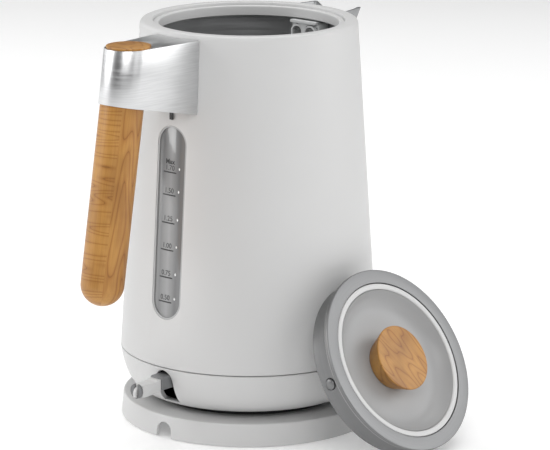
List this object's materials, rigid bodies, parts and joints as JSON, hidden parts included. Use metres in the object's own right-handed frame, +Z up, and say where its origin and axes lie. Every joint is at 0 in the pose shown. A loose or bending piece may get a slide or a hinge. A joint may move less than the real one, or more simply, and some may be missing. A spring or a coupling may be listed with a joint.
{
  "type": "cordless jug kettle",
  "caption": "Tapered cordless jug kettle on a round power base, steel-bracketed wooden handle, water window, bottom lever switch; the knobbed lid is off and leans on the jug.",
  "frame": {"origin": "centre of the power base's underside, on the table plane, on the kettle's axis", "axes": "+Z up the kettle's axis, +X towards the spout, the handle at -X, the leaning lid at -Y"},
  "size_m": [0.2251, 0.2234, 0.243],
  "materials": {
    "white_plastic": "smooth satin white",
    "light_plastic": "light grey, fine mould texture",
    "dark_plastic": "black, fine mould texture",
    "grey_plastic": "mid grey, satin",
    "window": "clear grey, glossy",
    "brushed_steel": "level brushed lines",
    "spout_steel": "satin",
    "vessel_steel": "satin, turned",
    "lid_metal": "grey satin, circular brushing",
    "dish_metal": "pale grey satin",
    "screw_steel": "machined",
    "aluminium": "cast",
    "brass": "turned",
    "rubber": "matte",
    "seal_rubber": "matte translucent grey",
    "wood": "oiled, grain along the handle",
    "knob_wood": "oiled, straight grain"
  },
  "bodies": {
    "power_base": {"base_shell": "white_plastic", "base_cover": "light_plastic", "base_connector": "dark_plastic", "contact_pin": "brass", "contact_ring": "brass", "cord_cradle": "dark_plastic", "cord_clamp": "dark_plastic", "clamp_screw_1": "screw_steel", "clamp_screw_2": "screw_steel", "base_screw_1": "screw_steel", "base_screw_2": "screw_steel", "base_screw_3": "screw_steel", "base_foot_1": "rubber", "base_foot_2": "rubber", "base_foot_3": "rubber"},
    "jug": {"outer_shell": "white_plastic", "inner_vessel": "vessel_steel", "throat_ring": "white_plastic", "window_lens": "window", "window_gasket": "grey_plastic", "spout": "spout_steel", "filter_housing": "light_plastic", "bottom_collar": "white_plastic", "jug_underside": "dark_plastic", "jug_foot_ring": "rubber", "jug_socket": "dark_plastic", "socket_pin": "brass", "socket_ring": "brass", "heater_plate": "aluminium", "heating_element": "screw_steel", "control_block": "dark_plastic", "bimetal_disc": "brass", "handle_bracket": "brushed_steel", "handle_rod": "wood", "handle_cap": "wood", "handle_bolt": "screw_steel", "bracket_tab": "dark_plastic", "switch_cradle": "dark_plastic", "switch_pin": "screw_steel"},
    "switch": {"switch_hub": "grey_plastic", "switch_lever": "white_plastic", "lever_pad": "grey_plastic"},
    "spout_filter": {"filter_frame": "light_plastic", "filter_mesh_left": "vessel_steel", "filter_mesh_right": "vessel_steel"},
    "lid": {"lid_ring": "lid_metal", "lid_band": "white_plastic", "lid_dish": "dish_metal", "lid_knob": "knob_wood", "knob_screw": "screw_steel", "knob_washer": "screw_steel", "lid_inner_plate": "vessel_steel", "lid_seal": "seal_rubber", "catch_seat_left": "dark_plastic", "catch_seat_right": "dark_plastic", "catch_spring_left": "screw_steel", "catch_spring_right": "screw_steel"},
    "lid_catch_left": {"catch_left": "grey_plastic"},
    "lid_catch_right": {"catch_right": "grey_plastic"}
  },
  "joints": [
    {"name": "jug_lift", "type": "slide", "parent": "power_base", "child": "jug", "axis": [0, 0.0748, 0.9972], "range_m": [0, 0.26]},
    {"name": "switch_pivot", "type": "hinge", "parent": "jug", "child": "switch", "pos_m": [-0.0705, 0, 0.0356], "axis": [0, 1, 0], "range_deg": [-15, 0]},
    {"name": "filter_lift", "type": "slide", "parent": "jug", "child": "spout_filter", "axis": [0, 0, 1], "range_m": [0, 0.045]},
    {"name": "lid_lift", "type": "slide", "parent": "power_base", "child": "lid", "axis": [0, 0, 1], "range_m": [0, 0.28]},
    {"name": "catch_left_press", "type": "slide", "parent": "lid", "child": "lid_catch_left", "axis": [1, 0, 0], "range_m": [0, 0.0016], "stiffness_N_per_m": 250, "springref_m": -0.002, "deforming": ["catch_spring_left"]},
    {"name": "catch_right_press", "type": "slide", "parent": "lid", "child": "lid_catch_right", "axis": [-1, 0, 0], "range_m": [0, 0.0016], "stiffness_N_per_m": 250, "springref_m": -0.002, "deforming": ["catch_spring_right"]}
  ]
}
